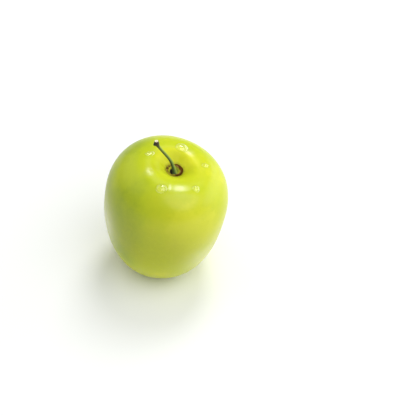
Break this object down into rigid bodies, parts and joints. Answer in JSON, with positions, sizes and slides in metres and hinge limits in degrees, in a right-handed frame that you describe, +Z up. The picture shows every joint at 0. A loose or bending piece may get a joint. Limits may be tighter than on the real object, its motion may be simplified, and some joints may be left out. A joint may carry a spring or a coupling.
{
  "type": "jujube",
  "caption": "Whole green jujube fruit with a shallow funnel at the stalk end, a cork ring and a short bent stalk, standing on a small level foot round its blossom end.",
  "frame": {"origin": "middle of the bounding box's underside, on the surface that the fruit stands on", "axes": "+Z up, roughly along the fruit's core towards the stalk; the core leans 9.6 degrees towards +X, and the stalk bends towards -X; -Y is the side that the picture shows"},
  "size_m": [0.0454, 0.0456, 0.0594],
  "materials": {
    "jujube_skin": "waxy, glossy yellow-green fruit skin",
    "ring_cork": "dry brown cork",
    "stalk_bark": "smooth green stalk"
  },
  "bodies": {
    "root": {"fruit": "jujube_skin", "cork_ring": "ring_cork", "stalk": "stalk_bark"}
  },
  "joints": []
}
